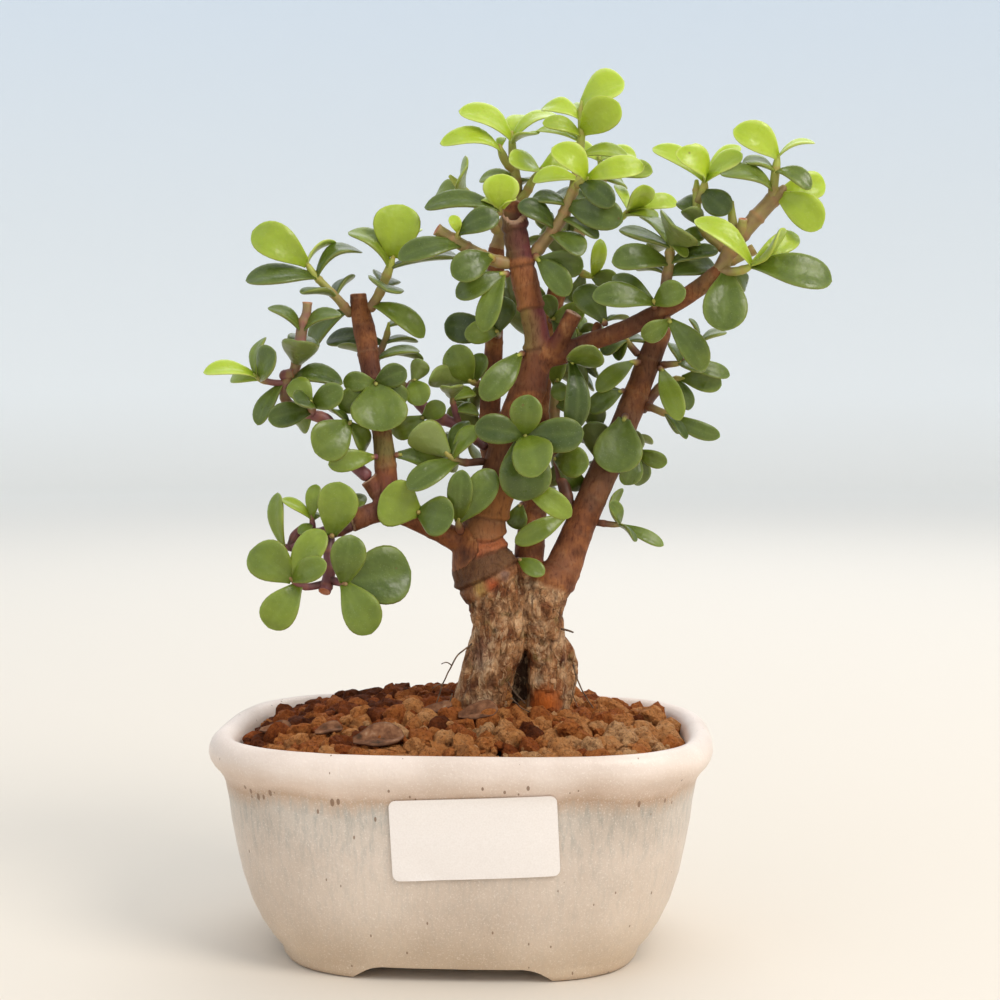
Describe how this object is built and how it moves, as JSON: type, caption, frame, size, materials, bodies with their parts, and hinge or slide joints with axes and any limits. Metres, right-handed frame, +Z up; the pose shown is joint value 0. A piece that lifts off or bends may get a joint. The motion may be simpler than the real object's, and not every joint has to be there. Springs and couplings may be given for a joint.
{
  "type": "potted bonsai tree",
  "caption": "Dwarf jade bonsai: two fused trunks, branching limbs and opposite fleshy leaves, in a footed oblong glazed pot filled with granular clay soil.",
  "frame": {"origin": "middle of the part's footprint at the underside of the pot's feet", "axes": "+Z up, X along the pot's long side, the labelled side and the pictured side facing -Y"},
  "size_m": [0.1502, 0.0878, 0.218],
  "materials": {
    "glaze": "cream satin glaze, warmer on the lip, bluish-grey run marks and brown iron specks",
    "baked_clay": "matt porous orange-brown grains of baked clay",
    "mesh_plastic": "matt black",
    "label_paper": "smooth white label paper, blank",
    "bark": "flaking grey-brown bark on the trunks, smooth reddish-brown bark with leaf-scar rings above",
    "leaf_green": "glossy fleshy leaves on reddish-pink young stems",
    "dead_leaf": "shrivelled grey-brown dead leaves"
  },
  "bodies": {
    "root": {"arch_behind": "leaf_green", "arch_end": "leaf_green", "arch_hang": "leaf_green", "arch_low": "leaf_green", "arch_root": "leaf_green", "arch_up": "leaf_green", "back_bough": "leaf_green", "back_centre": "leaf_green", "back_crown": "leaf_green", "back_left": "leaf_green", "back_limb": "leaf_green", "back_low": "leaf_green", "back_middle": "leaf_green", "back_right": "leaf_green", "back_stem_leaf": "leaf_green", "back_top": "leaf_green", "centre_behind": "leaf_green", "centre_left": "leaf_green", "centre_left_low": "leaf_green", "crotch_leaf": "leaf_green", "drainage_mesh": "mesh_plastic", "fallen_leaf_curled": "dead_leaf", "fallen_leaf_large": "dead_leaf", "fallen_leaf_left": "dead_leaf", "fallen_leaf_middle": "dead_leaf", "fallen_leaf_trunk": "dead_leaf", "fork": "leaf_green", "fork_front": "leaf_green", "fork_low": "leaf_green", "label": "label_paper", "left_branch": "leaf_green", "left_crown_inner": "leaf_green", "left_crown_outer": "leaf_green", "limb_leaf_left": "leaf_green", "limb_leaf_low": "leaf_green", "limb_leaf_right": "leaf_green", "limb_left_dark": "leaf_green", "limb_low_right": "leaf_green", "limb_mid_right": "leaf_green", "limb_right_high": "leaf_green", "limb_right_low": "leaf_green", "limb_round": "leaf_green", "low_front_left": "leaf_green", "low_front_mid": "leaf_green", "low_left_branch": "leaf_green", "mid_left": "leaf_green", "pot": "glaze", "shoulder": "leaf_green", "soil": "baked_clay", "stub_behind": "leaf_green", "stub_front": "leaf_green", "stub_leaf_left": "leaf_green", "stub_leaf_right": "leaf_green", "top_centre": "leaf_green", "trunk_front": "leaf_green", "trunk_leaf_left": "leaf_green", "trunk_leaf_low": "leaf_green", "trunk_left_hang": "leaf_green", "trunk_top": "leaf_green", "wood": "bark"}
  },
  "joints": []
}
